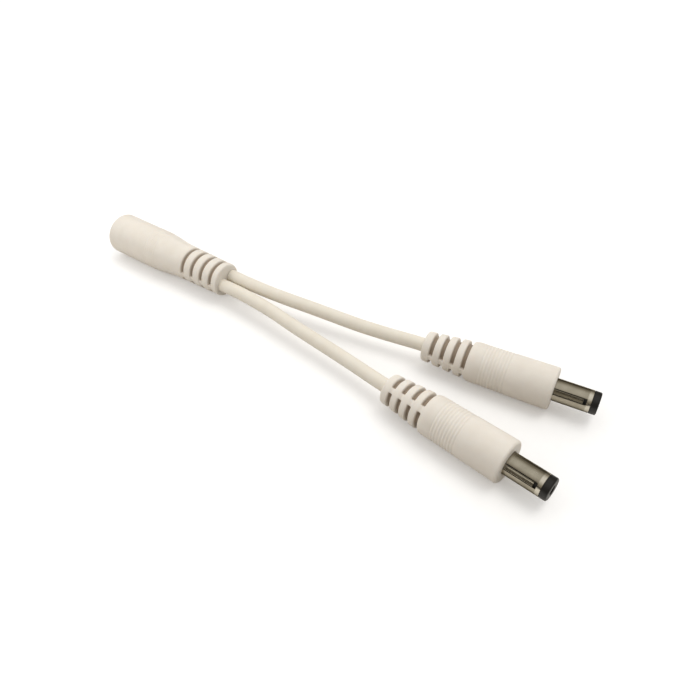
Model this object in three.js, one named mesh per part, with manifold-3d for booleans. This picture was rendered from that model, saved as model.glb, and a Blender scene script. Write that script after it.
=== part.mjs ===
// A low-voltage power splitter lead: one moulded barrel socket, two short legs, two moulded barrel plugs.
// Millimetres, +Z up. The lead lies on the plane z = 0 with the socket at -X and the plugs at +X.
import * as THREE from "three";
import { mergeVertices } from "three/addons/utils/BufferGeometryUtils.js";
import Module from "manifold-3d";

const wasm = await Module();
wasm.setup();

// Fits
const SLIP = 0.1; // radial clearance of a turned piece in its seat
const BUTT = 0.05; // gap between two flat faces that meet
const SOLDER = 0.15; // gap between a conductor and the tail it is soldered to
const OVERRUN = 1; // how far a cutter runs past what it cuts

// Facets of the turned pieces
const MOULD_SIDES = 24;
const METAL_SIDES = 20;
const WIRE_SIDES = 6;
const WIRE_STEPS = 12;
const EDGE_STEPS = 3;
const SHOULDER_STEPS = 5;
const SLOT_STEPS = 9;

// Legs
const CABLE_R = 1.75;
const CABLE_SIDES = 8;
const CABLE_STEPS = 14;
const CABLE_END_GAP = 0.3; // between a cable's end and the strain relief it meets
const WIRE_R = 0.5; // insulated conductor
const WIRE_PITCH = 1.3; // between the two conductors of one cable
const WIRE_BORE_R = 1.3; // channel for the pair through a strain relief
const WIRE_LAP = 1.5; // length soldered along its tail
const WIRE_LEAD = 0.5; // straight length past the tail, before the wire bends
const WIRE_STRAIGHT = 4; // length kept straight where the wire enters its channel
const LEG_PITCH = 3.9; // between the two cables where they leave the socket

// Strain reliefs: rings of the moulding with slots between them, left joined by two webs
const SLOTS = 4;
const SLOT_ARC = THREE.MathUtils.degToRad(156);
const RING_DIP = 0.22; // how far the moulding dips between two rings, all round
const RING_ROUND = 0.35; // length of the rounding on a ring's edge

// Socket moulding
const JACK_LENGTH = 41.5;
const HEAD_R = 5.8;
const HEAD_LENGTH = 16.4;
const MOUTH_ROUND = 1.2;
const SHOULDER_LENGTH = 10.4;
const NECK_R = 4.9; // at the shoulder
const NECK_END_R = 4.6;
const NECK_EDGE = 0.5;
const JACK_SLOT_FIRST = 29.1;
const JACK_SLOT_PITCH = 3.33;
const JACK_SLOT_WIDTH = 1;
const JACK_SLOT_DEPTH = 0.85;
const JACK_ROLL = THREE.MathUtils.degToRad(12); // how far the socket lies rolled from up, towards -Y
const JACK_BAND_START = 14.6;
const JACK_BAND_RINGS = 6;

// Grip rings, fine grooves turned into the mouldings
const BAND_PITCH = 0.78;
const BAND_DEPTH = 0.12;

// Socket insides
const INSERT_R = 4.4;
const INSERT_LENGTH = 17.6;
const SOCKET_R = 2.85; // takes the plug's sleeve
const SOCKET_DEPTH = 11.5;
const SOCKET_LEAD = 0.4; // lead-in at the socket's mouth
const INSERT_WALL = 2.5; // wall that carries the pin
const INSERT_RECESS_R = 3.4;
const PIN_R = 1;
const PIN_TIP_R = 0.4;
const PIN_TAPER = 0.6; // length of its tapered tip
const PIN_RECESS = 1.8; // tip behind the mouth
const PIN_COLLAR_R = 1.6;
const PIN_COLLAR_LENGTH = 0.8;
const TAIL_R = 0.5;
const TAIL_LENGTH = 4.5; // solder tails behind the wall
const LEAF_WIDTH = 2;
const LEAF_THICKNESS = 0.3;
const LEAF_START = 2; // of its channel, behind the mouth
const LEAF_FLAT = 2; // length before the bow
const LEAF_BOW_LENGTH = 5;
const LEAF_STEP = 1; // length of the step to the solder tail
const LEAF_BOW = 0.9; // how far the contact bows into the socket
const LEAF_CHANNEL_DEPTH = 1;
const LEAF_TAIL_DROP = 2.4; // below the axis, at the solder end
const JACK_CORE_LENGTH = 7.8;
const JACK_CORE_WALL = 1;
const JACK_CORE_END = 1.8;

// Plug moulding
const PLUG_LENGTH = 32.5;
const FRONT_R = 5.25;
const FRONT_EDGE = 0.6;
const BODY_REAR_R = 5.03;
const BODY_ROUND = 1.5;
const RELIEF_R = 4.8; // at the body
const RELIEF_END_R = 3.75;
const RELIEF_EDGE = 0.6;
const PLUG_SLOT_FIRST = 2.6;
const PLUG_SLOT_PITCH = 2.83;
const PLUG_SLOT_WIDTH = 0.95;
const PLUG_SLOT_DEPTH = 1;
const PLUG_BAND_START = 14.8;
const PLUG_BAND_RINGS = 9;

// Plug insides
const SLEEVE_R = 2.75;
const SLEEVE_WALL = 0.45;
const SLEEVE_REACH = 8.6; // bright length ahead of the moulding
const SLEEVE_HELD = 10; // length inside the moulding
const SLEEVE_COLLAR_R = 3.5;
const SLEEVE_COLLAR_LENGTH = 1;
const SLEEVE_COLLAR_BACK = 4.5; // collar's front face behind the moulding's front
const TAB_LENGTH = 4.5;
const TAB_WIDTH = 2;
const TAB_THICKNESS = 0.3;
const TAB_ROOT = 1; // length of the tab inside the sleeve
const TONGUE_WIDTH = 1;
const TONGUE_GAP = 0.3;
const TONGUE_TIP_GAP = 0.75;
const TONGUE_START = 0.6; // root of the tongue, behind the moulding's front
const TONGUE_LAND = 1; // solid sleeve between the slot and the black tip
const TIP_LENGTH = 1.7;
const TIP_EDGE = 0.25;
const TIP_BORE_R = 1.15;
const TIP_LIP = 0.8;
const CONTACT_R = 1.4;
const CONTACT_BORE_R = 1.05; // takes the socket's pin
const CONTACT_LENGTH = 9;
const CONTACT_TAIL_R = 0.6;
const CONTACT_TAIL_LENGTH = 3;
const TUBE_END_BACK = 12.5; // insulating tube's rear end behind the moulding's front
const TUBE_END_WALL = 1;
const PLUG_CORE_R = 3.75;
const PLUG_CORE_WALL = 0.8;
const PLUG_CORE_LENGTH = 14;
const PLUG_CORE_END = 1.4;

// Layout on the table
const LEG_SPAN = 58.05; // from the socket's end to the plugs' ends, along X
const PLUG_OFFSET = 8.69; // of a plug's end from the centre line
const PLUG_YAW = THREE.MathUtils.degToRad(7.1);
const LEFT_SLOT_ROLL = 2;
const RIGHT_SLOT_ROLL = -51;
const LEFT_SLEEVE_ROLL = 57;
const RIGHT_SLEEVE_ROLL = 60;

// Route of the legs from the socket's end: along X, out from the centre line, up from the table
const LEG_ROUTE = [
  [0, 1.91, 5.8],
  [4, 1.98, 5.79],
  [8, 2.16, 5.76],
  [12, 2.45, 5.71],
  [16, 2.83, 5.65],
  [20, 3.3, 5.56],
  [24, 3.87, 5.42],
  [28, 4.4, 5.28],
  [32, 4.88, 5.17],
  [36, 5.34, 5.07],
  [40, 5.83, 5],
  [44, 6.4, 5],
  [48, 7.03, 5.05],
  [52, 7.72, 5.12],
  [55, 8.23, 5.19],
  [58.05, 8.69, 5.25],
];
const ROLL_FADE = 20; // length over which a leg loses the height that the socket's roll gives it

// Colours
const ivory = { color: 0xeae2d6, roughness: 0.5, metalness: 0 };
const ivoryCable = { color: 0xe8dfce, roughness: 0.45, metalness: 0 };
const black = { color: 0x1c1b1a, roughness: 0.4, metalness: 0 };
const nickel = { color: 0xb9b3a4, roughness: 0.25, metalness: 1 };
const bronze = { color: 0xc39a62, roughness: 0.35, metalness: 1 };
const natural = { color: 0xdcdcd4, roughness: 0.45, metalness: 0 };
const red = { color: 0xa8231d, roughness: 0.5, metalness: 0 };
const dark = { color: 0x202020, roughness: 0.5, metalness: 0 };

function add(parent, name, geometry, look) {
  const mesh = new THREE.Mesh(geometry, new THREE.MeshStandardMaterial(look));
  mesh.name = name;
  parent.add(mesh);
  return mesh;
}

// A closed geometry as a solid for joining and cutting.
function solidOf(geometry) {
  const bare = geometry.clone();
  bare.deleteAttribute("normal");
  bare.deleteAttribute("uv");
  const merged = mergeVertices(bare, 1e-4);
  const vertProperties = merged.attributes.position.array;
  const triVerts = new Uint32Array(merged.index.array);
  return new wasm.Manifold(new wasm.Mesh({ numProp: 3, vertProperties, triVerts }));
}

function geometryOf(solid) {
  const mesh = solid.getMesh();
  const geometry = new THREE.BufferGeometry();
  geometry.setAttribute("position", new THREE.BufferAttribute(mesh.vertProperties, 3));
  geometry.setIndex(new THREE.BufferAttribute(mesh.triVerts, 1));
  geometry.computeVertexNormals();
  return geometry;
}

// A profile of [x, radius] points turned about the X axis.
function turned(profile, sides) {
  const points = profile.map(([x, r]) => new THREE.Vector2(r, x));
  return new THREE.LatheGeometry(points, sides).rotateZ(-Math.PI / 2);
}

// A profile that closes on itself, for a piece with a bore right through.
function turnedTube(profile, sides) {
  return turned([...profile, profile[0]], sides);
}

function boxAt(length, width, height, x, y, z) {
  return new THREE.BoxGeometry(length, width, height).translate(x, y, z);
}

const along = (x0, r0, x1, r1) => (x) => r0 + ((r1 - r0) * (x - x0)) / (x1 - x0);

// A convex rounded edge, from [x0, r0] to [x1, r1], that starts across the axis and ends along it, or back.
function roundedEdge(x0, r0, x1, r1, fromFace) {
  const points = [];
  for (let i = 0; i <= EDGE_STEPS; i++) {
    const a = ((Math.PI / 2) * i) / EDGE_STEPS;
    const u = fromFace ? 1 - Math.cos(a) : Math.sin(a);
    const v = fromFace ? Math.sin(a) : 1 - Math.cos(a);
    points.push([x0 + (x1 - x0) * u, r0 + (r1 - r0) * v]);
  }
  return points;
}

// The dip that the moulding makes between two rings, at each slot.
function ringDips(first, pitch, width, radiusAt) {
  const points = [];
  for (let i = 0; i < SLOTS; i++) {
    const x = first + i * pitch;
    const reach = width / 2 + RING_ROUND;
    points.push([x - reach, radiusAt(x - reach)]);
    points.push([x, radiusAt(x) - RING_DIP]);
    points.push([x + reach, radiusAt(x + reach)]);
  }
  return points;
}

function gripRings(start, rings, radiusAt) {
  const points = [];
  for (let i = 0; i < rings; i++) {
    const x = start + i * BAND_PITCH;
    points.push([x, radiusAt(x)]);
    points.push([x + BAND_PITCH / 2, radiusAt(x + BAND_PITCH / 2) - BAND_DEPTH]);
  }
  const end = start + rings * BAND_PITCH;
  points.push([end, radiusAt(end)]);
  return points;
}

// Two opposite arc slots at each station, cut down to a floor that follows the moulding.
function slotCutters(first, pitch, width, depth, radiusAt, roll = 0) {
  const cutters = [];
  for (let i = 0; i < SLOTS; i++) {
    const x = first + i * pitch;
    const outside = 2 * radiusAt(x);
    const floor = radiusAt(x) - depth;
    for (const side of [0, Math.PI]) {
      const at = (r, a) => new THREE.Vector2(r * Math.cos(a), r * Math.sin(a));
      const outline = [-1, 0, 1].map((k) => at(outside, side + (k * SLOT_ARC) / 2));
      for (let k = 0; k <= SLOT_STEPS; k++)
        outline.push(at(floor, side + SLOT_ARC * (0.5 - k / SLOT_STEPS)));
      const blade = new THREE.ExtrudeGeometry(new THREE.Shape(outline), {
        depth: width,
        bevelEnabled: false,
      });
      blade.translate(0, 0, -width / 2).rotateY(Math.PI / 2).translate(x, 0, 0);
      cutters.push(blade.rotateX(THREE.MathUtils.degToRad(roll)));
    }
  }
  return cutters;
}

// Two channels side by side, one for the conductors of each leg.
function wireChannels(start, end) {
  const length = end - start + 2 * OVERRUN;
  return [-1, 1].map((side) =>
    new THREE.CylinderGeometry(WIRE_BORE_R, WIRE_BORE_R, length, METAL_SIDES)
      .rotateZ(Math.PI / 2)
      .translate((start + end) / 2, (side * LEG_PITCH) / 2, 0),
  );
}

function cut(body, cutters) {
  let solid = solidOf(body);
  for (const cutter of cutters) solid = solid.subtract(solidOf(cutter));
  return geometryOf(solid);
}

// A tube of round section along points, which may be straight or bent.
function wire(points, radius, sides, steps) {
  const section = new THREE.Shape();
  for (let i = 0; i < sides; i++) {
    const a = (2 * Math.PI * (i + 0.5)) / sides;
    section[i ? "lineTo" : "moveTo"](radius * Math.cos(a), radius * Math.sin(a));
  }
  section.closePath();
  const path = new THREE.CatmullRomCurve3(points.map((p) => new THREE.Vector3(...p)));
  return new THREE.ExtrudeGeometry(section, { steps, bevelEnabled: false, extrudePath: path });
}

function addWire(parent, name, points, look) {
  add(parent, name, wire(points, WIRE_R, WIRE_SIDES, WIRE_STEPS), look);
}

// Socket. Its own frame has the mouth at x = 0 and the axis on y = z = 0.
const NECK_START = HEAD_LENGTH + SHOULDER_LENGTH;
const INSERT_SEAT_R = INSERT_R + SLIP;
const JACK_CORE_START = INSERT_LENGTH + BUTT;
const JACK_CAVITY_END = JACK_CORE_START + JACK_CORE_LENGTH + BUTT;

function jackOvermould() {
  const neck = along(NECK_START, NECK_R, JACK_LENGTH, NECK_END_R);
  const outer = (x) => {
    const s = Math.max(0, (x - HEAD_LENGTH) / SHOULDER_LENGTH);
    return HEAD_R + ((NECK_R - HEAD_R) * (1 - Math.cos(Math.PI * s))) / 2;
  };
  const bandEnd = JACK_BAND_START + JACK_BAND_RINGS * BAND_PITCH;
  const shoulder = [];
  for (let i = 1; i <= SHOULDER_STEPS; i++) {
    const x = bandEnd + ((NECK_START - bandEnd) * i) / SHOULDER_STEPS;
    shoulder.push([x, outer(x)]);
  }
  const body = turned(
    [
      [JACK_CAVITY_END, 0],
      [JACK_CAVITY_END, INSERT_SEAT_R],
      [0, INSERT_SEAT_R],
      ...roundedEdge(0, HEAD_R - MOUTH_ROUND, MOUTH_ROUND, HEAD_R, true),
      ...gripRings(JACK_BAND_START, JACK_BAND_RINGS, outer),
      ...shoulder,
      ...ringDips(JACK_SLOT_FIRST, JACK_SLOT_PITCH, JACK_SLOT_WIDTH, neck),
      ...roundedEdge(JACK_LENGTH - NECK_EDGE, NECK_END_R, JACK_LENGTH, NECK_END_R - NECK_EDGE, false),
      [JACK_LENGTH, 0],
    ],
    MOULD_SIDES,
  );
  const slots = slotCutters(
    JACK_SLOT_FIRST,
    JACK_SLOT_PITCH,
    JACK_SLOT_WIDTH,
    JACK_SLOT_DEPTH,
    neck,
  );
  return cut(body, [...wireChannels(JACK_CAVITY_END, JACK_LENGTH), ...slots]);
}

function jackInsert() {
  const wallEnd = SOCKET_DEPTH + INSERT_WALL;
  const body = turnedTube(
    [
      [wallEnd, PIN_R + SLIP],
      [SOCKET_DEPTH, PIN_R + SLIP],
      [SOCKET_DEPTH, SOCKET_R],
      [SOCKET_LEAD, SOCKET_R],
      [0, SOCKET_R + SOCKET_LEAD],
      [0, INSERT_R],
      [INSERT_LENGTH, INSERT_R],
      [INSERT_LENGTH, INSERT_RECESS_R],
      [wallEnd, INSERT_RECESS_R],
    ],
    MOULD_SIDES,
  );
  const length = INSERT_LENGTH - LEAF_START + OVERRUN;
  const low = SOCKET_R + LEAF_CHANNEL_DEPTH;
  const height = low - LEAF_TAIL_DROP + LEAF_THICKNESS;
  const width = LEAF_WIDTH + 2 * SLIP;
  return cut(body, [boxAt(length, width, height, LEAF_START + length / 2, 0, height / 2 - low)]);
}

function centrePin() {
  const wallEnd = SOCKET_DEPTH + INSERT_WALL + BUTT;
  return turned(
    [
      [PIN_RECESS, 0],
      [PIN_RECESS, PIN_TIP_R],
      [PIN_RECESS + PIN_TAPER, PIN_R],
      [wallEnd, PIN_R],
      [wallEnd, PIN_COLLAR_R],
      [wallEnd + PIN_COLLAR_LENGTH, PIN_COLLAR_R],
      [wallEnd + PIN_COLLAR_LENGTH, TAIL_R],
      [wallEnd + TAIL_LENGTH, TAIL_R],
      [wallEnd + TAIL_LENGTH, 0],
    ],
    METAL_SIDES,
  );
}

// The sleeve contact: a strip that lies in its channel, bows up into the socket and ends in a solder tail.
function sleeveSpring() {
  const floor = -(SOCKET_R + LEAF_CHANNEL_DEPTH - SLIP);
  const start = LEAF_START + SLIP;
  const bow = start + LEAF_FLAT;
  const step = SOCKET_DEPTH + INSERT_WALL;
  const tail = step + LEAF_STEP;
  const line = [
    [start, floor],
    [bow, floor],
    [bow + LEAF_BOW_LENGTH / 2, floor + LEAF_BOW],
    [bow + LEAF_BOW_LENGTH, floor],
    [step, floor],
    [tail, -LEAF_TAIL_DROP],
    [tail + TAIL_LENGTH, -LEAF_TAIL_DROP],
  ];
  const outline = new THREE.Shape();
  line.forEach(([x, z], i) => outline[i ? "lineTo" : "moveTo"](x, z));
  [...line].reverse().forEach(([x, z]) => outline.lineTo(x, z + LEAF_THICKNESS));
  outline.closePath();
  return new THREE.ExtrudeGeometry(outline, { depth: LEAF_WIDTH, bevelEnabled: false })
    .translate(0, 0, -LEAF_WIDTH / 2)
    .rotateX(Math.PI / 2);
}

// The cup moulded round the soldered ends before the outer moulding goes on.
function jackCore() {
  const end = JACK_CORE_START + JACK_CORE_LENGTH;
  const body = turned(
    [
      [end - JACK_CORE_END, 0],
      [end - JACK_CORE_END, INSERT_R - JACK_CORE_WALL],
      [JACK_CORE_START, INSERT_R - JACK_CORE_WALL],
      [JACK_CORE_START, INSERT_R],
      [end, INSERT_R],
      [end, 0],
    ],
    METAL_SIDES,
  );
  return cut(body, wireChannels(end - JACK_CORE_END, end));
}

// Conductors of one leg inside the socket: the upper one to the pin, the lower one to the sleeve contact.
function jackWires(parent, name, side) {
  const tailEnd = SOCKET_DEPTH + INSERT_WALL + TAIL_LENGTH;
  const bend = JACK_CAVITY_END - JACK_CORE_END - BUTT;
  const channelY = (side * LEG_PITCH) / 2;
  const end = JACK_LENGTH - CABLE_END_GAP;
  const pinY = side * (TAIL_R + SOLDER + WIRE_R);
  const leafY = side * (WIRE_R + SOLDER);
  const leafZ = LEAF_THICKNESS + SOLDER + WIRE_R - LEAF_TAIL_DROP;
  const route = (y, z, channelZ) => [
    [tailEnd - WIRE_LEAD - WIRE_LAP, y, z],
    [tailEnd - WIRE_LEAD, y, z],
    [bend, channelY, channelZ],
    [bend + WIRE_STRAIGHT, channelY, channelZ],
    [end, channelY, channelZ],
  ];
  const half = WIRE_PITCH / 2;
  addWire(parent, name + "_jack_positive", route(pinY, 0, half), red);
  addWire(parent, name + "_jack_negative", route(leafY, leafZ, -half), dark);
}

function jack() {
  const group = new THREE.Group();
  add(group, "jack_overmould", jackOvermould(), ivory);
  add(group, "jack_insert", jackInsert(), black);
  add(group, "jack_center_pin", centrePin(), nickel);
  add(group, "jack_sleeve_spring", sleeveSpring(), bronze);
  add(group, "jack_inner_mould", jackCore(), natural);
  jackWires(group, "left_wire", 1);
  jackWires(group, "right_wire", -1);
  group.position.z = HEAD_R;
  group.rotation.x = JACK_ROLL;
  return group;
}

// Plug. Its own frame has the cable end at x = 0 and the axis on y = z = 0.
const PLUG_SLOT_LAST = PLUG_SLOT_FIRST + (SLOTS - 1) * PLUG_SLOT_PITCH;
const BODY_START = PLUG_SLOT_LAST + PLUG_SLOT_WIDTH / 2;
const COLLAR_FRONT = PLUG_LENGTH - SLEEVE_COLLAR_BACK;
const COLLAR_REAR = COLLAR_FRONT - SLEEVE_COLLAR_LENGTH;
const CORE_FRONT = COLLAR_REAR - BUTT;
const CORE_REAR = CORE_FRONT - PLUG_CORE_LENGTH;
const SLEEVE_REAR = PLUG_LENGTH - SLEEVE_HELD;
const SLEEVE_FRONT = PLUG_LENGTH + SLEEVE_REACH;
const TIP_FRONT = SLEEVE_FRONT + TIP_LENGTH;
const TUBE_REAR = PLUG_LENGTH - TUBE_END_BACK;
const TUBE_R = SLEEVE_R - SLEEVE_WALL - SLIP;
const TUBE_BORE_R = CONTACT_R + SLIP;

function plugOvermould(roll) {
  const relief = along(0, RELIEF_END_R, BODY_START, RELIEF_R);
  const body = along(BODY_START, BODY_REAR_R, PLUG_LENGTH, FRONT_R);
  const edge = PLUG_LENGTH - FRONT_EDGE;
  const shell = turnedTube(
    [
      [0, WIRE_BORE_R],
      ...roundedEdge(0, RELIEF_END_R - RELIEF_EDGE, RELIEF_EDGE, relief(RELIEF_EDGE), true),
      ...ringDips(PLUG_SLOT_FIRST, PLUG_SLOT_PITCH, PLUG_SLOT_WIDTH, relief),
      [BODY_START + BODY_ROUND, body(BODY_START + BODY_ROUND)],
      ...gripRings(PLUG_BAND_START, PLUG_BAND_RINGS, body),
      ...roundedEdge(edge, body(edge), PLUG_LENGTH, body(edge) - FRONT_EDGE, false),
      [PLUG_LENGTH, SLEEVE_R + SLIP],
      [COLLAR_FRONT + BUTT, SLEEVE_R + SLIP],
      [COLLAR_FRONT + BUTT, PLUG_CORE_R + SLIP],
      [CORE_REAR - BUTT, PLUG_CORE_R + SLIP],
      [CORE_REAR - BUTT, WIRE_BORE_R],
    ],
    MOULD_SIDES,
  );
  const slots = slotCutters(
    PLUG_SLOT_FIRST,
    PLUG_SLOT_PITCH,
    PLUG_SLOT_WIDTH,
    PLUG_SLOT_DEPTH,
    relief,
    roll,
  );
  return cut(shell, slots);
}

// The bright sleeve: a tube with an anchoring collar, a solder tab and two spring tongues cut in its wall.
function plugSleeve(roll) {
  const inner = SLEEVE_R - SLEEVE_WALL;
  const tube = solidOf(
    turnedTube(
      [
        [SLEEVE_REAR, inner],
        [SLEEVE_REAR, SLEEVE_R],
        [COLLAR_REAR, SLEEVE_R],
        [COLLAR_REAR, SLEEVE_COLLAR_R],
        [COLLAR_FRONT, SLEEVE_COLLAR_R],
        [COLLAR_FRONT, SLEEVE_R],
        [SLEEVE_FRONT, SLEEVE_R],
        [SLEEVE_FRONT, inner],
      ],
      METAL_SIDES,
    ),
  );
  const root = PLUG_LENGTH - TONGUE_START;
  const slotEnd = SLEEVE_FRONT - TONGUE_LAND;
  const tongueEnd = slotEnd - TONGUE_TIP_GAP;
  const wide = TONGUE_WIDTH + 2 * TONGUE_GAP;
  let solid = tube;
  for (const side of [-1, 1]) {
    const z = (side * (inner + SLEEVE_R)) / 2;
    const height = 3 * SLEEVE_WALL;
    const slot = solidOf(boxAt(slotEnd - root, wide, height, (slotEnd + root) / 2, 0, z));
    const keepLength = tongueEnd - root + 2 * OVERRUN;
    const keepX = tongueEnd - keepLength / 2;
    const tongue = solidOf(boxAt(keepLength, TONGUE_WIDTH, 2 * height, keepX, 0, z));
    solid = solid.subtract(slot.subtract(tongue));
  }
  const tabLength = TAB_LENGTH + TAB_ROOT;
  const tabX = SLEEVE_REAR + TAB_ROOT - tabLength / 2;
  const tab = boxAt(tabLength, TAB_WIDTH, TAB_THICKNESS, tabX, 0, -(inner + TAB_THICKNESS / 2));
  const rolled = geometryOf(solid).rotateX(THREE.MathUtils.degToRad(roll));
  return geometryOf(solidOf(rolled).add(solidOf(tab)));
}

// The black insulator: the ring at the tip and, in one piece with it, the tube that lines the sleeve.
function plugInsulator() {
  return turnedTube(
    [
      [TUBE_REAR, CONTACT_TAIL_R + SLIP],
      [TUBE_REAR, TUBE_R],
      [SLEEVE_FRONT + BUTT, TUBE_R],
      [SLEEVE_FRONT + BUTT, SLEEVE_R],
      [TIP_FRONT - TIP_EDGE, SLEEVE_R],
      [TIP_FRONT, SLEEVE_R - TIP_EDGE],
      [TIP_FRONT, TIP_BORE_R],
      [TIP_FRONT - TIP_LIP, TIP_BORE_R],
      [TIP_FRONT - TIP_LIP, TUBE_BORE_R],
      [TUBE_REAR + TUBE_END_WALL, TUBE_BORE_R],
      [TUBE_REAR + TUBE_END_WALL, CONTACT_TAIL_R + SLIP],
    ],
    METAL_SIDES,
  );
}

function plugContact() {
  const front = TIP_FRONT - TIP_LIP - BUTT;
  const neck = TUBE_REAR + TUBE_END_WALL + BUTT;
  return turned(
    [
      [TUBE_REAR - CONTACT_TAIL_LENGTH, 0],
      [TUBE_REAR - CONTACT_TAIL_LENGTH, CONTACT_TAIL_R],
      [neck, CONTACT_TAIL_R],
      [neck, CONTACT_R],
      [front, CONTACT_R],
      [front, CONTACT_BORE_R],
      [front - CONTACT_LENGTH, CONTACT_BORE_R],
      [front - CONTACT_LENGTH, 0],
    ],
    METAL_SIDES,
  );
}

// The cup moulded round the soldered ends, open to the sleeve in front and to the conductors behind.
function plugCore() {
  const step = SLEEVE_REAR - BUTT;
  return turnedTube(
    [
      [CORE_REAR, WIRE_BORE_R],
      [CORE_REAR, PLUG_CORE_R],
      [CORE_FRONT, PLUG_CORE_R],
      [CORE_FRONT, SLEEVE_R + SLIP],
      [step, SLEEVE_R + SLIP],
      [step, PLUG_CORE_R - PLUG_CORE_WALL],
      [CORE_REAR + PLUG_CORE_END, PLUG_CORE_R - PLUG_CORE_WALL],
      [CORE_REAR + PLUG_CORE_END, WIRE_BORE_R],
    ],
    METAL_SIDES,
  );
}

function plugWires(parent, name) {
  const half = WIRE_PITCH / 2;
  const tailEnd = TUBE_REAR - CONTACT_TAIL_LENGTH;
  const bend = CORE_REAR + PLUG_CORE_END;
  const pinZ = CONTACT_TAIL_R + SOLDER + WIRE_R;
  const tabZ = SOLDER + WIRE_R - (SLEEVE_R - SLEEVE_WALL);
  const route = (channelZ, z, x) => [
    [CABLE_END_GAP, 0, channelZ],
    [bend - WIRE_STRAIGHT, 0, channelZ],
    [bend, 0, channelZ],
    [x - WIRE_LEAD, 0, z],
    [x + WIRE_LAP, 0, z],
  ];
  const tabEnd = SLEEVE_REAR - TAB_LENGTH;
  addWire(parent, name + "_positive", route(half, pinZ, tailEnd), red);
  addWire(parent, name + "_negative", route(-half, tabZ, tabEnd), dark);
}

function plug(name, side, slotRoll, sleeveRoll) {
  const group = new THREE.Group();
  add(group, name + "_overmould", plugOvermould(slotRoll), ivory);
  add(group, name + "_inner_mould", plugCore(), natural);
  add(group, name + "_sleeve", plugSleeve(sleeveRoll), nickel);
  add(group, name + "_insulator", plugInsulator(), black);
  add(group, name + "_contact", plugContact(), nickel);
  plugWires(group, name + "_wire");
  group.position.set(JACK_LENGTH + LEG_SPAN, side * PLUG_OFFSET, FRONT_R);
  group.rotation.z = side * PLUG_YAW;
  return group;
}

// One leg's cable, from the socket's strain relief to the plug's.
function leg(side) {
  const rise = (LEG_PITCH / 2) * Math.sin(JACK_ROLL);
  const route = LEG_ROUTE.map(([x, y, z]) => {
    const left = Math.max(0, 1 - x / ROLL_FADE);
    return new THREE.Vector3(JACK_LENGTH + x, side * y, z + side * rise * left * left);
  });
  const whole = new THREE.CatmullRomCurve3(route);
  const share = CABLE_END_GAP / whole.getLength();
  const points = [];
  for (let i = 0; i <= CABLE_STEPS; i++) {
    const at = share + ((1 - 2 * share) * i) / CABLE_STEPS;
    points.push(whole.getPointAt(at).toArray());
  }
  return wire(points, CABLE_R, CABLE_SIDES, CABLE_STEPS);
}

const lead = new THREE.Group();
lead.add(jack());
lead.add(plug("left_plug", 1, LEFT_SLOT_ROLL, LEFT_SLEEVE_ROLL));
lead.add(plug("right_plug", -1, RIGHT_SLOT_ROLL, RIGHT_SLEEVE_ROLL));
add(lead, "left_cable", leg(1), ivoryCable);
add(lead, "right_cable", leg(-1), ivoryCable);

// The origin is under the middle of the whole lead.
const extent = new THREE.Box3().setFromObject(lead, true);
lead.position.set(-(extent.min.x + extent.max.x) / 2, 0, -extent.min.z);

const group = new THREE.Group();
group.add(lead);
export default group;
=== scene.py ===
import math

import bmesh
import bpy
from mathutils import Matrix, Vector


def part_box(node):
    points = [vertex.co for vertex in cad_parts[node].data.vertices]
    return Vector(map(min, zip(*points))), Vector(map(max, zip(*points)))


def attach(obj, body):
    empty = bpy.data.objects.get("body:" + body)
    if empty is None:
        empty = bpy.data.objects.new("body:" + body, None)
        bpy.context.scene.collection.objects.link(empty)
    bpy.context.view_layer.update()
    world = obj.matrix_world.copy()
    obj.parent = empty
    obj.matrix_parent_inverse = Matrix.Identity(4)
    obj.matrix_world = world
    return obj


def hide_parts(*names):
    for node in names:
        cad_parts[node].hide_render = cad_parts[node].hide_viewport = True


MM = 0.001

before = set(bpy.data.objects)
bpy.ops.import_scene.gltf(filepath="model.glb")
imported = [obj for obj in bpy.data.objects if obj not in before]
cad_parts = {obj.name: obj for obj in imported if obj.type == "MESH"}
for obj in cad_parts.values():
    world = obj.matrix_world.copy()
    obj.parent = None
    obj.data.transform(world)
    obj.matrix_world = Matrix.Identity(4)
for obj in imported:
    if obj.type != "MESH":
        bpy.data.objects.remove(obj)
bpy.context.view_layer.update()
scene = bpy.context.scene

# The camera, from a fit of the photograph: what it looks at, from the socket's mouth, and from where
MOUTH_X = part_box("jack_overmould")[0][0]
TARGET = Vector((MOUTH_X + 85.0 * MM, -3.5 * MM, 5.5 * MM))
AZIMUTH = math.radians(34.11)
ELEVATION = math.radians(44.4)
DISTANCE = 164.1 * MM
LENS_MM = 34.09


def add_camera():
    flat = math.cos(ELEVATION)
    back = Vector((math.sin(AZIMUTH) * flat, -math.cos(AZIMUTH) * flat, math.sin(ELEVATION)))
    data = bpy.data.cameras.new("camera")
    data.lens = LENS_MM
    data.sensor_width = 36
    data.clip_start = 0.005
    data.clip_end = 10
    camera = bpy.data.objects.new("camera", data)
    camera.location = TARGET + DISTANCE * back
    camera.rotation_euler = back.to_track_quat("Z", "Y").to_euler()
    scene.collection.objects.link(camera)
    scene.camera = camera


add_camera()

# The legs: points from the socket's end, in millimetres along X, out from the middle and up
JACK_LENGTH = 41.5
HEAD_R = 5.79
JACK_ROLL = math.radians(12)
CABLE_DIAMETER = 3.5 * MM
LEG_PITCH = 3.9
ROLL_FADE = 20
LEG_ROUTE = [
    (0.03, 1.91, 5.8),
    (4, 1.98, 5.79),
    (8, 2.16, 5.76),
    (12, 2.45, 5.71),
    (16, 2.83, 5.65),
    (20, 3.3, 5.56),
    (24, 3.87, 5.42),
    (28, 4.4, 5.28),
    (32, 4.88, 5.17),
    (36, 5.34, 5.07),
    (40, 5.83, 5),
    (44, 6.4, 5),
    (48, 7.03, 5.05),
    (52, 7.72, 5.12),
    (55, 8.23, 5.19),
    (58.02, 8.69, 5.25),
]


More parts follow.
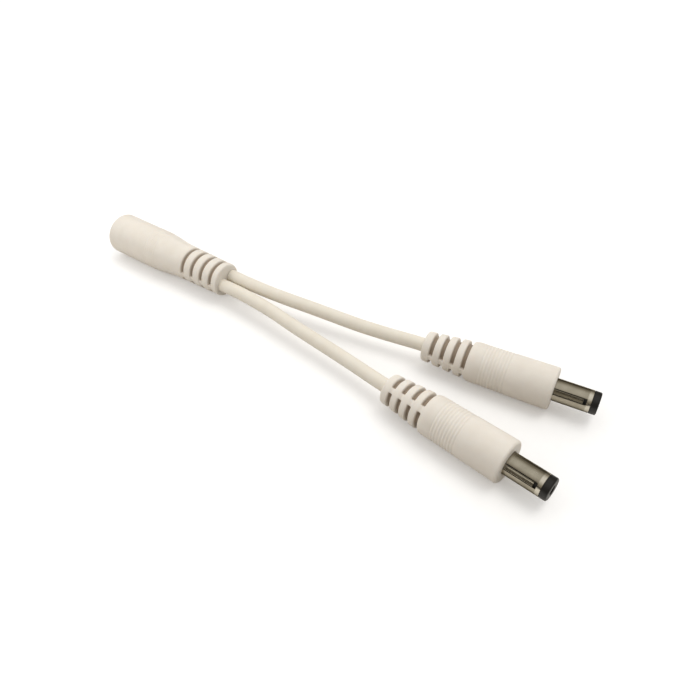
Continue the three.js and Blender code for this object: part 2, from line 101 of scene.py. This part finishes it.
def axis_height(node):
    """The height of a turned piece's axis: the middle of its box."""
    low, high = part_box(node)
    return (low[2] + high[2]) / 2


JACK_AXIS_Z = axis_height("jack_overmould")
PLUG_AXIS_Z = axis_height("left_plug_overmould")


def leg_point(x, y, z, side):
    """A route point of one leg. Near the socket its roll lifts one leg and lowers the other."""
    rise = side * LEG_PITCH / 2 * math.sin(JACK_ROLL) * max(0, 1 - x / ROLL_FADE) ** 2
    lift = JACK_AXIS_Z - HEAD_R * MM
    return Vector((MOUTH_X + (JACK_LENGTH + x) * MM, side * y * MM, (z + rise) * MM + lift))


def mesh_of(drawn):
    """The mesh that an object's curve or modifiers make. The object itself goes."""
    scene.collection.objects.link(drawn)
    depsgraph = bpy.context.evaluated_depsgraph_get()
    mesh = bpy.data.meshes.new_from_object(drawn.evaluated_get(depsgraph))
    bpy.data.objects.remove(drawn)
    return mesh


def leg_cable(name, side):
    points = [leg_point(x, y, z, side) for x, y, z in LEG_ROUTE]
    curve = bpy.data.curves.new(name, "CURVE")
    curve.dimensions = "3D"
    curve.bevel_depth = CABLE_DIAMETER / 2
    curve.bevel_resolution = 12
    curve.resolution_u = 6
    curve.use_fill_caps = True
    spline = curve.splines.new("BEZIER")
    spline.bezier_points.add(len(points) - 1)
    for knot, point in zip(spline.bezier_points, points):
        knot.co = point
        knot.handle_left_type = "AUTO"
        knot.handle_right_type = "AUTO"
    mesh = mesh_of(bpy.data.objects.new(name + "_line", curve))
    mesh.shade_smooth()
    mesh.set_sharp_from_angle(angle=math.radians(38))
    cable = bpy.data.objects.new(name, mesh)
    scene.collection.objects.link(cable)
    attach(cable, "root")
    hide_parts(name[: -len("_jacket")])
    return cable


left_cable = leg_cable("left_cable_jacket", 1)
right_cable = leg_cable("right_cable_jacket", -1)


# Materials
def linear(code):
    """An sRGB colour written as six hex digits, as linear RGBA."""
    values = [int(code[i : i + 2], 16) / 255 for i in (0, 2, 4)]
    return [v / 12.92 if v <= 0.04045 else ((v + 0.055) / 1.055) ** 2.4 for v in values] + [1]


def add_node(tree, kind, settings=(), **inputs):
    """A node with its settings. Each input is a socket to link or a value to set."""
    made = tree.nodes.new(kind)
    for key, value in dict(settings).items():
        setattr(made, key, value)
    for key, value in inputs.items():
        socket = made.inputs[int(key[1:])] if key[0] == "i" and key[1:].isdigit() else made.inputs[key.replace("_", " ")]
        if isinstance(value, bpy.types.NodeSocket):
            tree.links.new(value, socket)
        else:
            socket.default_value = value
    return made


def new_material(name):
    material = bpy.data.materials.new(name)
    material.use_nodes = True
    tree = material.node_tree
    return material, tree, tree.nodes["Principled BSDF"]


def millimetres(tree, own):
    """Coordinates in millimetres: a shaped piece's own ones, or the object's."""
    if own:
        return add_node(tree, "ShaderNodeAttribute", {"attribute_name": "own_mm"}).outputs["Vector"]
    texture = add_node(tree, "ShaderNodeTexCoord")
    return add_node(
        tree, "ShaderNodeVectorMath", {"operation": "SCALE"}, Vector=texture.outputs["Object"], Scale=1000.0
    ).outputs["Vector"]


def noise(tree, place, per_mm, detail=3.0, stretch=(1, 1, 1)):
    mapped = add_node(tree, "ShaderNodeMapping", Vector=place, Scale=stretch)
    return add_node(
        tree, "ShaderNodeTexNoise", Vector=mapped.outputs["Vector"], Scale=per_mm, Detail=detail
    ).outputs["Fac"]


def spread(tree, value, low, high):
    """A noise's middle range, as a value from low to high."""
    return add_node(
        tree, "ShaderNodeMapRange", Value=value, i1=0.3, i2=0.7, i3=low, i4=high
    ).outputs["Result"]


def mixed(tree, factor, first, second, blend="MIX"):
    return add_node(
        tree, "ShaderNodeMix", {"data_type": "RGBA", "blend_type": blend}, i0=factor, i6=first, i7=second
    ).outputs[2]


def pvc(name, light, deep, painted_slot_shade, roughness, own):
    """Soft PVC: faint clouding, a fine orange peel, and painted shade darkening the slots where the piece has them.
    """
    material, tree, shader = new_material(name)
    place = millimetres(tree, own)
    clouds = spread(tree, noise(tree, place, 0.35), 0.0, 1.0)
    colour = mixed(tree, clouds, linear(light), linear(deep))
    # Painted shade: the slots are darkened by multiplying in a shade colour, more deeply towards their floors.
    if own:
        depth = add_node(tree, "ShaderNodeAttribute", {"attribute_name": "painted_slot_shade"}).outputs["Fac"]
        colour = mixed(tree, depth, colour, linear(painted_slot_shade), "MULTIPLY")
    tree.links.new(colour, shader.inputs["Base Color"])
    fine = noise(tree, place, 2.2, 4.0)
    tree.links.new(spread(tree, fine, roughness - 0.05, roughness + 0.07), shader.inputs["Roughness"])
    bump = add_node(tree, "ShaderNodeBump", Height=fine, Strength=0.25, Distance=0.01 * MM)
    tree.links.new(bump.outputs["Normal"], shader.inputs["Normal"])
    shader.inputs["IOR"].default_value = 1.5
    shader.inputs["Subsurface Weight"].default_value = 0.12
    shader.inputs["Subsurface Radius"].default_value = (1, 0.75, 0.5)
    shader.inputs["Subsurface Scale"].default_value = 0.8 * MM
    return material


def metal(name, light, deep, roughness, own, front_highlight=None):
    """Drawn metal: faint lines along the piece, uneven plating, and a painted highlight, a lighter colour, on the
    front end.
    """
    material, tree, shader = new_material(name)
    place = millimetres(tree, own)
    lines = noise(tree, place, 4.0, 3.0, (0.06, 1, 1))
    patches = noise(tree, place, 0.5)
    colour = mixed(tree, spread(tree, patches, 0.0, 1.0), linear(light), linear(deep))
    # Painted highlight: from 40 mm along the piece, the front end gets a lighter colour.
    if front_highlight:
        ahead = add_node(tree, "ShaderNodeSeparateXYZ", Vector=place).outputs["X"]
        painted_light_share = add_node(tree, "ShaderNodeMapRange", Value=ahead, i1=40.0, i2=40.3).outputs["Result"]
        colour = mixed(tree, painted_light_share, colour, linear(front_highlight))
    tree.links.new(colour, shader.inputs["Base Color"])
    tree.links.new(spread(tree, lines, roughness - 0.05, roughness + 0.08), shader.inputs["Roughness"])
    bump = add_node(tree, "ShaderNodeBump", Height=lines, Strength=0.2, Distance=0.004 * MM)
    tree.links.new(bump.outputs["Normal"], shader.inputs["Normal"])
    shader.inputs["Metallic"].default_value = 1
    shader.inputs["Specular Tint"].default_value = linear("6E675C")
    return material


def plastic(name, light, deep, roughness, own):
    """Hard moulded plastic with a fine grain."""
    material, tree, shader = new_material(name)
    place = millimetres(tree, own)
    grain = noise(tree, place, 3.0, 4.0)
    colour = mixed(tree, spread(tree, grain, 0.0, 1.0), linear(light), linear(deep))
    tree.links.new(colour, shader.inputs["Base Color"])
    tree.links.new(spread(tree, grain, roughness - 0.06, roughness + 0.08), shader.inputs["Roughness"])
    bump = add_node(tree, "ShaderNodeBump", Height=grain, Strength=0.2, Distance=0.008 * MM)
    tree.links.new(bump.outputs["Normal"], shader.inputs["Normal"])
    return material


# Ivory PVC overmoulding, satin, with painted shade (B2A598) darkening its slots
ivory_pvc = pvc("ivory_pvc_overmould", "DFD8CD", "DBD3C7", "B2A598", 0.42, True)
# Ivory PVC cable jacket, a little creamier and smoother
ivory_jacket = pvc("ivory_pvc_jacket", "DFD8CA", "DBD3C4", "FFFFFF", 0.38, False)
# Bright nickel plate on brass
nickel = metal("nickel_plate", "A59E8D", "989180", 0.2, True)
# The plugs' sleeves: the same plate, with a painted highlight (CDC8BC) at the front end
sleeve_nickel = metal("nickel_plate_sleeve", "ABA597", "9E988A", 0.2, True, "CDC8BC")
# Rolled phosphor bronze
bronze = metal("phosphor_bronze", "C79C66", "B88B55", 0.28, True)
# Black glass-filled insulator
black_plastic = plastic("black_insulator", "12100F", "0D0C0B", 0.42, True)
# Unpigmented polyethylene inner moulds
natural = plastic("natural_polyethylene", "DCDBD2", "D2D1C6", 0.45, False)
# Conductor insulation
red_pvc = plastic("red_wire_insulation", "A8261F", "98201A", 0.45, False)
dark_pvc = plastic("black_wire_insulation", "242322", "1C1B1A", 0.45, False)


# Modelling
SIDES = 160
METAL_SIDES = 96


def spin_outline(bm, outline, sides):
    """Points of [x, radius] spun once round the X axis. A closed outline makes a ring."""
    verts = [bm.verts.new((x, 0, r)) for x, r in outline]
    closed = outline[0][1] > 0
    edges = [bm.edges.new(pair) for pair in zip(verts, verts[1:])]
    if closed:
        edges.append(bm.edges.new((verts[-1], verts[0])))
    bmesh.ops.spin(
        bm,
        geom=verts + edges,
        cent=(0, 0, 0),
        axis=(1, 0, 0),
        angle=2 * math.pi,
        steps=sides,
        use_merge=True,
    )
    on_axis = [v for v in bm.verts if math.hypot(v.co.y, v.co.z) < 1e-5]
    bmesh.ops.remove_doubles(bm, verts=on_axis, dist=1e-4)
    bmesh.ops.dissolve_degenerate(bm, edges=bm.edges, dist=1e-5)


def soften(bm, offset, segments=2, least=50):
    """Rounds every edge sharper than the least angle."""
    sharp = [
        e for e in bm.edges if len(e.link_faces) == 2 and e.calc_face_angle(0) > math.radians(least)
    ]
    bmesh.ops.bevel(
        bm, geom=sharp, offset=offset, segments=segments, profile=0.5, affect="EDGES", material=-1
    )


def finish_piece(name, bm, place, material, node, painted_shade_at=None):
    """The piece as an object at the origin, its points in the row frame."""
    bmesh.ops.recalc_face_normals(bm, faces=bm.faces)
    own = bm.verts.layers.float_vector.new("own_mm")
    # The second layer holds how much painted shade each point gets, for darkening the slots.
    deep = bm.verts.layers.float.new("painted_slot_shade")
    for v in bm.verts:
        v[own] = v.co
        v[deep] = painted_shade_at(v.co) if painted_shade_at else 0
    bmesh.ops.transform(bm, matrix=place, verts=bm.verts)
    mesh = bpy.data.meshes.new(name)
    bm.to_mesh(mesh)
    bm.free()
    mesh.shade_smooth()
    mesh.set_sharp_from_angle(angle=math.radians(38))
    mesh.materials.append(material)
    made = bpy.data.objects.new(name, mesh)
    scene.collection.objects.link(made)
    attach(made, "root")
    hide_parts(node)
    return made


def quarter(x0, r0, x1, r1, steps, from_face):
    """A rounded edge that starts across the axis and ends along it, or the other way."""
    points = []
    for i in range(steps + 1):
        a = math.pi / 2 * i / steps
        u, v = (1 - math.cos(a), math.sin(a)) if from_face else (math.sin(a), 1 - math.cos(a))
        points.append((x0 + (x1 - x0) * u, r0 + (r1 - r0) * v))
    return points


def line(x0, r0, x1, r1):
    return lambda x: r0 + (r1 - r0) * (x - x0) / (x1 - x0)


# A slot's wall in section: distance outside the wall, and how deep the slot is there
WALL = [
    (-0.2, 1),
    (-0.11, 0.97),
    (-0.05, 0.88),
    (-0.01, 0.62),
    (0.03, 0.34),
    (0.09, 0.13),
    (0.18, 0.03),
    (0.3, 0),
]
RING_DIP = 0.22
DIP_REACH = 0.35
SLOT_ARC = 156


def wall_depth(distance):
    if distance <= WALL[0][0]:
        return 1
    for (d0, f0), (d1, f1) in zip(WALL, WALL[1:]):
        if distance <= d1:
            return f0 + (f1 - f0) * (distance - d0) / (d1 - d0)
    return 0


class Relief:
    """A strain relief's slots: two arcs at each station, joined by two webs."""

    def __init__(self, first, pitch, width, depth, roll, radius):
        self.centres = [first + i * pitch for i in range(4)]
        self.half = width / 2
        self.depth = depth
        self.roll = roll
        self.radius = radius

    def stations(self):
        offsets = [self.half + d for d, _ in WALL if self.half + d > 0.05]
        both = [-d for d in reversed(offsets)] + [0] + offsets
        return [c + d for c in self.centres for d in both]

    def nearest(self, x):
        return min(abs(x - c) for c in self.centres)

    def crest(self, x):
        reach = self.half + DIP_REACH
        away = self.nearest(x)
        dip = RING_DIP * (1 + math.cos(math.pi * away / reach)) / 2 if away < reach else 0
        return self.radius(x) - dip

    def fill(self, co):
        """How far a point lies inside a slot, from 0 to 1."""
        along_axis = wall_depth(self.nearest(co.x) - self.half)
        if not along_axis:
            return 0
        turn = math.degrees(math.atan2(-co.y, co.z)) - self.roll
        away = abs((turn + 90) % 180 - 90) - SLOT_ARC / 2
        return along_axis * wall_depth(math.radians(away) * self.radius(co.x))

    def cut(self, bm):
        start = self.centres[0] - self.half - 0.4
        end = self.centres[-1] + self.half + 0.4
        for v in bm.verts:
            r = math.hypot(v.co.y, v.co.z)
            if start < v.co.x < end and r > 1:
                floor = self.radius(v.co.x) - self.depth
                wanted = r + (floor - r) * self.fill(v.co)
                v.co.y *= wanted / r
                v.co.z *= wanted / r

    # How much painted shade a point gets: none outside a slot, rising to full at its floor.
    def painted_slot_shade(self, co):
        r = math.hypot(co.y, co.z)
        if self.nearest(co.x) > self.half + 0.3 or r < 1:
            return 0
        return min(1, max(0, (self.radius(co.x) - 0.15 - r) / (self.depth - 0.15)))


def grip_rings(start, rings, radius, pitch=0.78, depth=0.1):
    points = []
    for i in range(rings * 8 + 1):
        x = start + pitch * i / 8
        points.append((x, radius(x) - depth * (1 - math.cos(2 * math.pi * i / 8)) / 2))
    return points


# The socket's moulding
HEAD_LENGTH = 16.4
NECK_START = 26.8
neck = line(NECK_START, 4.9, JACK_LENGTH, 4.6)
jack_relief = Relief(29.1, 3.33, 1.0, 0.85, 0, neck)
jack_place = (
    Matrix.Translation((MOUTH_X, 0, JACK_AXIS_Z)) @ Matrix.Rotation(JACK_ROLL, 4, "X") @ Matrix.Scale(MM, 4)
)


def shoulder(x):
    s = max(0, (x - HEAD_LENGTH) / (NECK_START - HEAD_LENGTH))
    return HEAD_R + (4.9 - HEAD_R) * (1 - math.cos(math.pi * s)) / 2


def jack_overmould():
    bm = bmesh.new()
    outline = [(25.5, 0), (25.5, 4.5), (12, 4.5), (0.12, 4.5), (0, 4.6)]
    outline += quarter(0, HEAD_R - 1.2, 1.2, HEAD_R, 8, True)
    outline += [(x, HEAD_R) for x in (4, 8, 12)]
    outline += grip_rings(14.6, 6, shoulder)
    outline += [(x, shoulder(x)) for x in [19.28 + 0.6 * i for i in range(1, 14)]]
    outline += [(x, jack_relief.crest(x)) for x in jack_relief.stations()]
    outline += quarter(JACK_LENGTH - 0.5, neck(41), JACK_LENGTH, neck(41) - 0.5, 5, False)
    outline += [(JACK_LENGTH, 2), (JACK_LENGTH, 0)]
    spin_outline(bm, outline, SIDES)
    jack_relief.cut(bm)
    return finish_piece(
        "jack_moulding", bm, jack_place, ivory_pvc, "jack_overmould", jack_relief.painted_slot_shade
    )


def jack_insert():
    """The socket's body, with the channel for the sleeve contact cut along its underside."""
    bm = bmesh.new()
    outline = [(14, 1.1), (11.5, 1.1), (11.5, 2.85), (0.4, 2.85)]
    outline += quarter(0.4, 2.85, 0, 3.25, 4, False)
    outline += [(0, 4.3), (0.1, 4.4), (17.6, 4.4), (17.6, 3.4), (14, 3.4)]
    spin_outline(bm, outline, METAL_SIDES)
    body = bpy.data.meshes.new("insert_body")
    bm.to_mesh(body)
    bm.free()
    tool = bmesh.new()
    size = Matrix.Translation((10.3, 0, -2.6)) @ Matrix.Diagonal((16.6, 2.2, 2.5, 1))
    bmesh.ops.create_cube(tool, size=1, matrix=size)
    channel = bpy.data.meshes.new("insert_channel")
    tool.to_mesh(channel)
    tool.free()
    body_object = bpy.data.objects.new("insert_body", body)
    channel_object = bpy.data.objects.new("insert_channel", channel)
    scene.collection.objects.link(channel_object)
    cutter = body_object.modifiers.new("channel", "BOOLEAN")
    cutter.operation = "DIFFERENCE"
    cutter.solver = "EXACT"
    cutter.object = channel_object
    cut_mesh = mesh_of(body_object)
    bpy.data.objects.remove(channel_object)
    bm = bmesh.new()
    bm.from_mesh(cut_mesh)
    bpy.data.meshes.remove(cut_mesh)
    return finish_piece(
        "socket_body", bm, jack_place, black_plastic, "jack_insert"
    )


def centre_pin():
    bm = bmesh.new()
    outline = [(1.8, 0), (1.8, 0.35)] + quarter(1.8, 0.35, 2.45, 1, 6, True)[1:]
    outline += [(14.05, 1), (14.05, 1.6), (14.85, 1.6), (14.85, 0.5), (18.4, 0.5), (18.55, 0.35), (18.55, 0)]
    spin_outline(bm, outline, 64)
    return finish_piece("centre_pin", bm, jack_place, nickel, "jack_center_pin")


def sleeve_spring():
    """The bowed strip that touches the plug's sleeve."""
    floor = -3.75
    route = [(2.1, floor), (4.1, floor)]
    route += [
        (4.1 + 5 * i / 16, floor + 0.9 * (1 - math.cos(2 * math.pi * i / 16)) / 2) for i in range(1, 16)
    ]
    route += [(9.1, floor), (14, floor), (15, -2.4), (19.5, -2.4)]
    bm = bmesh.new()
    low = [bm.verts.new((x, -1, z)) for x, z in route]
    high = [bm.verts.new((x, -1, z + 0.3)) for x, z in route]
    for i in range(len(route) - 1):
        bm.faces.new((low[i], low[i + 1], high[i + 1], high[i]))
    grown = bmesh.ops.extrude_face_region(bm, geom=list(bm.faces))
    moved = [v for v in grown["geom"] if isinstance(v, bmesh.types.BMVert)]
    bmesh.ops.translate(bm, verts=moved, vec=(0, 2, 0))
    bmesh.ops.recalc_face_normals(bm, faces=bm.faces)
    soften(bm, 0.05, 1, 60)
    return finish_piece(
        "sleeve_contact", bm, jack_place, bronze, "jack_sleeve_spring"
    )


# The plugs
PLUG_LENGTH = 32.5
LEG_SPAN = 58.05
PLUG_OFFSET = 8.69
PLUG_YAW = math.radians(7.1)
RELIEF_TOP = 11.565
relief_radius = line(0, 3.75, RELIEF_TOP, 4.8)
body_radius = line(RELIEF_TOP, 5.03, PLUG_LENGTH, 5.25)


def plug_place(side):
    start = Vector((MOUTH_X + (JACK_LENGTH + LEG_SPAN) * MM, side * PLUG_OFFSET * MM, PLUG_AXIS_Z))
    return Matrix.Translation(start) @ Matrix.Rotation(side * PLUG_YAW, 4, "Z") @ Matrix.Scale(MM, 4)


def plug_overmould(name, side, roll):
    relief = Relief(2.6, 2.83, 0.95, 1, roll, relief_radius)
    bm = bmesh.new()
    outline = [(0, 0), (0, 1.8)]
    outline += quarter(0, 3.15, 0.6, relief_radius(0.6), 5, True)
    outline += [(x, relief.crest(x)) for x in relief.stations()]
    foot = relief_radius(11.95)
    top = body_radius(13.07)
    outline += [
        (11.95 + 1.12 * i / 6, foot + (top - foot) * math.sin(math.pi / 2 * i / 6)) for i in range(1, 7)
    ]
    outline += grip_rings(14.8, 9, body_radius)
    outline += [(25, body_radius(25)), (29, body_radius(29))]
    edge = PLUG_LENGTH - 0.6
    outline += quarter(edge, body_radius(edge), PLUG_LENGTH, body_radius(edge) - 0.6, 6, False)
    outline += [(PLUG_LENGTH, 2.95), (PLUG_LENGTH - 0.1, 2.85), (28.05, 2.85), (28.05, 3.85), (12.9, 3.85), (12.9, 0)]
    spin_outline(bm, outline, SIDES)
    relief.cut(bm)
    return finish_piece(
        name + "_moulding", bm, plug_place(side), ivory_pvc, name + "_overmould", relief.painted_slot_shade
    )


def press_tongues(bm, root, end, half=12.5, depth=0.1):
    """Presses the two tongues in along their middle, as a formed spring is."""
    for v in bm.verts:
        turn = math.degrees(math.atan2(v.co.y, v.co.z))
        away = abs((turn + 90) % 180 - 90)
        if away < half and root - 0.1 < v.co.x < end + 0.1:
            r = math.hypot(v.co.y, v.co.z)
            start = min(1, max(0, (v.co.x - root) / 1.5))
            dip = depth * start * (1 + math.cos(math.pi * away / half)) / 2
            v.co.y *= (r - dip) / r
            v.co.z *= (r - dip) / r


def plug_sleeve(name, side, roll):
    """The bright sleeve, with two spring tongues freed by slots in its wall."""
    radius = 2.75
    rear, front = 22.5, 41.1
    root, slot_end, tongue_end = 31.9, 40.1, 39.35
    bm = bmesh.new()
    stations = [rear, 27, root, 32.4, 32.9, 33.4, 36, tongue_end, slot_end, 40.6, front]
    verts = [bm.verts.new((x, 0, radius)) for x in stations]
    edges = [bm.edges.new(pair) for pair in zip(verts, verts[1:])]
    bmesh.ops.spin(
        bm,
        geom=verts + edges,
        cent=(0, 0, 0),
        axis=(1, 0, 0),
        angle=2 * math.pi,
        steps=180,
        use_merge=True,
    )
    open_faces = []
    for face in bm.faces:
        middle = face.calc_center_median()
        turn = math.degrees(math.atan2(middle.y, middle.z))
        away = abs((turn + 90) % 180 - 90)
        beside = 12 < away < 16 and root < middle.x < slot_end
        ahead = away < 16 and tongue_end < middle.x < slot_end
        if beside or ahead:
            open_faces.append(face)
    bmesh.ops.delete(bm, geom=open_faces, context="FACES")
    bmesh.ops.recalc_face_normals(bm, faces=bm.faces)
    bmesh.ops.solidify(bm, geom=list(bm.faces), thickness=0.45)
    bmesh.ops.recalc_face_normals(bm, faces=bm.faces)
    reach = max(math.hypot(v.co.y, v.co.z) for v in bm.verts)
    if reach > radius + 0.1:
        for v in bm.verts:
            r = math.hypot(v.co.y, v.co.z)
            v.co.y *= (r - 0.45) / r
            v.co.z *= (r - 0.45) / r
    press_tongues(bm, root, tongue_end)
    soften(bm, 0.05, 2, 60)
    bmesh.ops.rotate(bm, cent=(0, 0, 0), matrix=Matrix.Rotation(math.radians(roll), 3, "X"), verts=bm.verts)
    collar = [(27, 2.6), (28, 2.6), (28, 3.45), (27.95, 3.5), (27.05, 3.5), (27, 3.45)]
    spin_outline(bm, collar, METAL_SIDES)
    tab = Matrix.Translation((20.6, 0, -2.45)) @ Matrix.Diagonal((5.2, 2, 0.3, 1))
    bmesh.ops.create_cube(bm, size=1, matrix=tab)
    return finish_piece(
        name + "_barrel", bm, plug_place(side), sleeve_nickel, name + "_sleeve"
    )


def plug_insulator(name, side):
    """The black tip ring and the tube behind it that lines the sleeve."""
    bm = bmesh.new()
    outline = [(20, 0.7), (20, 2.2), (41.15, 2.2), (41.15, 2.7), (41.2, 2.75)]
    outline += quarter(42.45, 2.75, 42.8, 2.4, 5, False)
    outline += [(42.8, 1.3), (42.65, 1.15), (42, 1.15), (42, 1.5), (21, 1.5), (21, 0.7)]
    spin_outline(bm, outline, METAL_SIDES)
    return finish_piece(
        name + "_tip", bm, plug_place(side), black_plastic, name + "_insulator"
    )


def plug_contact(name, side):
    bm = bmesh.new()
    outline = [(17, 0), (17, 0.55), (17.05, 0.6), (21.05, 0.6), (21.05, 1.4), (41.9, 1.4), (41.95, 1.35)]
    outline += [(41.95, 1.15), (41.8, 1.05), (32.95, 1.05), (32.95, 0)]
    spin_outline(bm, outline, 64)
    return finish_piece(
        name + "_pin_tube", bm, plug_place(side), nickel, name + "_contact"
    )


jack_overmould()
jack_insert()
centre_pin()
sleeve_spring()
for plug, side, slot_roll, sleeve_roll in (("left_plug", 1, 2, 57), ("right_plug", -1, -51, 60)):
    plug_overmould(plug, side, slot_roll)
    plug_sleeve(plug, side, sleeve_roll)
    plug_insulator(plug, side)
    plug_contact(plug, side)
for cable in (left_cable, right_cable):
    cable.data.materials.append(ivory_jacket)

# The hidden pieces keep their CAD shapes
for node_name, node_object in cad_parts.items():
    if "inner_mould" in node_name:
        look = natural
    elif "positive" in node_name:
        look = red_pvc
    elif "negative" in node_name:
        look = dark_pvc
    else:
        continue
    node_object.data.materials.clear()
    node_object.data.materials.append(look)


# The white surface, and soft light from above and behind
def add_floor():
    material, tree, shader = new_material("white_paper_sweep")
    place = millimetres(tree, False)
    grain = spread(tree, noise(tree, place, 0.4), 0.0, 1.0)
    paper = mixed(tree, grain, linear("FFFFFF"), linear("FDFDFD"))
    path = add_node(tree, "ShaderNodeLightPath")
    seen = path.outputs["Is Camera Ray"]
    # Painted reflection: in the metal's reflections the floor is pale near the pieces and dark beyond 100 to 180 mm.
    away = add_node(tree, "ShaderNodeVectorMath", {"operation": "LENGTH"}, i0=place).outputs["Value"]
    beyond = add_node(tree, "ShaderNodeMapRange", Value=away, i1=100.0, i2=180.0).outputs["Result"]
    mirrored = mixed(tree, beyond, linear("EFEBE3"), linear("2A2722"))
    # Painted shade: light bounced off the floor sees it greyer (BDB7AF) than the camera does, so less bounce reaches
    # the undersides.
    unseen = mixed(tree, path.outputs["Is Glossy Ray"], linear("BDB7AF"), mirrored)
    tree.links.new(mixed(tree, seen, unseen, paper), shader.inputs["Base Color"])
    shader.inputs["Roughness"].default_value = 0.9
    shader.inputs["Specular IOR Level"].default_value = 0.1
    # Painted glow: for camera rays 22% of the floor is white emission, which lightens the shadows cast on it.
    painted_glow = add_node(tree, "ShaderNodeEmission", Color=linear("FFF9F0"), Strength=1.0)
    painted_light_share = add_node(tree, "ShaderNodeMath", {"operation": "MULTIPLY"}, i0=seen, i1=0.22)
    floor_with_glow = add_node(
        tree, "ShaderNodeMixShader", Fac=painted_light_share.outputs[0], i1=shader.outputs[0], i2=painted_glow.outputs[0]
    )
    tree.links.new(floor_with_glow.outputs[0], tree.nodes["Material Output"].inputs["Surface"])
    mesh = bpy.data.meshes.new("floor")
    bm = bmesh.new()
    bmesh.ops.create_grid(bm, x_segments=1, y_segments=1, size=2)
    bmesh.ops.translate(bm, verts=bm.verts, vec=(0, 0, -0.00002))
    bm.to_mesh(mesh)
    bm.free()
    mesh.materials.append(material)
    floor = bpy.data.objects.new("floor", mesh)
    scene.collection.objects.link(floor)


SKY = 0.885
SKY_LEAN = 0.6
FROM_BEHIND = (-math.sin(AZIMUTH), math.cos(AZIMUTH), 0)


def add_sky():
    """White for the camera, an even soft white for the light, and dark sides for the metal to reflect."""
    world = bpy.data.worlds.new("studio")
    world.use_nodes = True
    tree = world.node_tree
    tree.nodes.clear()
    path = add_node(tree, "ShaderNodeLightPath")
    texture = add_node(tree, "ShaderNodeTexCoord")
    height = add_node(tree, "ShaderNodeSeparateXYZ", Vector=texture.outputs["Generated"]).outputs["Z"]
    ramp = add_node(tree, "ShaderNodeValToRGB", Fac=height)
    stops = ramp.color_ramp.elements
    stops[0].position = 0.03
    stops[0].color = linear("1E1B17")
    stops[1].position = 0.95
    stops[1].color = linear("F4F1EA")
    for position, colour in ((0.22, "5A5349"), (0.4, "8A8375"), (0.65, "ABA496")):
        stops.new(position).color = linear(colour)
    behind = add_node(
        tree, "ShaderNodeVectorMath", {"operation": "DOT_PRODUCT"}, i0=texture.outputs["Generated"], i1=FROM_BEHIND
    ).outputs["Value"]
    glow = add_node(
        tree, "ShaderNodeMapRange", Value=behind, i1=-1.0, i2=1.0, i3=SKY * (1 - SKY_LEAN), i4=SKY * (1 + SKY_LEAN)
    ).outputs["Result"]
    even = add_node(tree, "ShaderNodeBackground", Color=linear("FFFFFF"), Strength=glow)
    shiny = add_node(tree, "ShaderNodeBackground", Color=ramp.outputs["Color"], Strength=1.0)
    seen = add_node(tree, "ShaderNodeBackground", Color=linear("FFFFFF"), Strength=1.2)
    lit = add_node(
        tree, "ShaderNodeMixShader", Fac=path.outputs["Is Glossy Ray"], i1=even.outputs[0], i2=shiny.outputs[0]
    )
    final = add_node(
        tree, "ShaderNodeMixShader", Fac=path.outputs["Is Camera Ray"], i1=lit.outputs[0], i2=seen.outputs[0]
    )
    add_node(tree, "ShaderNodeOutputWorld", Surface=final.outputs[0])
    scene.world = world


def add_sun(name, direction, energy, spread_deg, colour):
    """A soft distant lamp that shines along a direction."""
    data = bpy.data.lights.new(name, "SUN")
    data.energy = energy
    data.angle = math.radians(spread_deg)
    data.color = linear(colour)[:3]
    lamp = bpy.data.objects.new(name, data)
    lamp.visible_glossy = False
    lamp.rotation_euler = Vector(direction).to_track_quat("-Z", "Y").to_euler()
    scene.collection.objects.link(lamp)


def add_fill(name, place, target, energy, size):
    """A small soft lamp near the socket, where the photograph is lightest."""
    data = bpy.data.lights.new(name, "AREA")
    data.energy = energy
    data.size = size
    lamp = bpy.data.objects.new(name, data)
    lamp.location = place
    lamp.rotation_euler = (Vector(target) - Vector(place)).to_track_quat("-Z", "Y").to_euler()
    lamp.visible_glossy = False
    scene.collection.objects.link(lamp)


add_floor()
add_sky()
add_fill("fill", (-0.09, -0.10, 0.09), (-0.055, 0, 0.005), 0.055, 0.08)
add_sun("window", (-0.25, -0.3, -1.15), 0.82, 32, "FFFCF7")

scene.view_settings.view_transform = "Standard"
